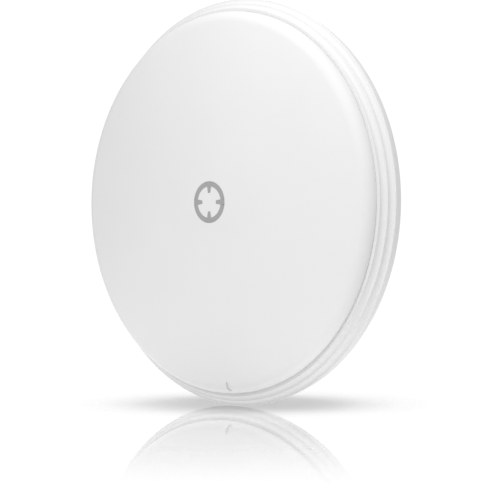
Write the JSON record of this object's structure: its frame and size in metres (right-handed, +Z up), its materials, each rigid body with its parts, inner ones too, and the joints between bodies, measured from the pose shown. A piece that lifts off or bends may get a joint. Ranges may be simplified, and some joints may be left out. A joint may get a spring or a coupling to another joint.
{
  "type": "shrouded dish antenna",
  "caption": "Round dish antenna with a shallow domed radome, a ribbed rim shroud, a rear radio housing and a tilting clamp for a round pole.",
  "frame": {"origin": "on the axis of the round pole that the clamp grips, level with the middle of the dish and the clamp bolts", "axes": "+Z up along the pole; the antenna looks along -Y, so the domed cover's outward normal is -Y; +X completes the right-handed frame"},
  "size_m": [0.42, 0.2346, 0.4188],
  "materials": {
    "white_plastic": "smooth satin moulding, ultraviolet-stable white",
    "grey_ink": "flat grey print",
    "seal_rubber": "matt black rubber",
    "white_painted_metal": "fine white powder coat",
    "cast_aluminium": "fine-blasted casting",
    "bare_aluminium": "spun and pressed sheet",
    "galvanised_steel": "zinc plated pressing",
    "stainless_steel": "plain stainless fasteners",
    "green_board": "solder mask",
    "tinned_steel": "tinned sheet",
    "black_plastic": "black moulding",
    "clear_lens": "clear light pipe"
  },
  "bodies": {
    "pole_mount": {"pole_bracket": "galvanised_steel", "pole_saddle": "cast_aluminium", "saddle_screw_upper": "stainless_steel", "saddle_screw_lower": "stainless_steel", "pivot_bolt": "stainless_steel", "pivot_nut": "stainless_steel", "lock_bolt_left": "stainless_steel", "lock_bolt_right": "stainless_steel", "lock_nut_left": "stainless_steel", "lock_nut_right": "stainless_steel", "lock_washer_left": "stainless_steel", "lock_washer_right": "stainless_steel", "clamp_bolt_left": "stainless_steel", "clamp_bolt_right": "stainless_steel"},
    "antenna_head": {"radome_cover": "white_plastic", "rim_shroud": "white_plastic", "feed_tube": "white_plastic", "feed_cap": "white_plastic", "radio_housing": "white_plastic", "aim_mark": "grey_ink", "cover_seal": "seal_rubber", "feed_o_ring": "seal_rubber", "housing_gasket": "seal_rubber", "cable_grommet": "seal_rubber", "reflector_dish": "white_painted_metal", "hub_plate": "cast_aluminium", "rf_shield_band": "bare_aluminium", "dish_clamp_ring": "bare_aluminium", "sub_reflector": "bare_aluminium", "heat_spreader": "bare_aluminium", "head_bracket": "galvanised_steel", "rim_screw_1": "stainless_steel", "rim_screw_2": "stainless_steel", "rim_screw_3": "stainless_steel", "rim_screw_4": "stainless_steel", "rim_screw_5": "stainless_steel", "rim_screw_6": "stainless_steel", "hub_bolt_1": "stainless_steel", "hub_bolt_2": "stainless_steel", "hub_bolt_3": "stainless_steel", "hub_bolt_4": "stainless_steel", "housing_screw_1": "stainless_steel", "housing_screw_2": "stainless_steel", "housing_screw_3": "stainless_steel", "housing_screw_4": "stainless_steel", "ground_screw": "stainless_steel", "radio_board": "green_board", "radiator_board": "green_board", "driven_element": "tinned_steel", "rf_shield_can": "tinned_steel", "power_shield_can": "tinned_steel", "ethernet_jack": "tinned_steel", "reset_switch": "black_plastic", "led_lens": "clear_lens"},
    "clamp_jaw": {"clamp_jaw": "cast_aluminium", "clamp_nut_left": "stainless_steel", "clamp_nut_right": "stainless_steel"},
    "port_door": {"port_door": "white_plastic"},
    "reset_button": {"reset_button": "black_plastic"}
  },
  "joints": [
    {"name": "elevation_tilt", "type": "hinge", "parent": "pole_mount", "child": "antenna_head", "pos_m": [0, -0.045, 0], "axis": [1, 0, 0], "range_deg": [-20, 20]},
    {"name": "jaw_slide", "type": "slide", "parent": "pole_mount", "child": "clamp_jaw", "axis": [0, 1, 0], "range_m": [-0.014, 0.0085]},
    {"name": "port_door_slide", "type": "slide", "parent": "antenna_head", "child": "port_door", "axis": [0, 0, -1], "range_m": [0, 0.026]},
    {"name": "reset_press", "type": "slide", "parent": "antenna_head", "child": "reset_button", "axis": [0, 0, 1], "range_m": [0, 0.0008], "stiffness_N_per_m": 600, "springref_m": -0.0008}
  ]
}
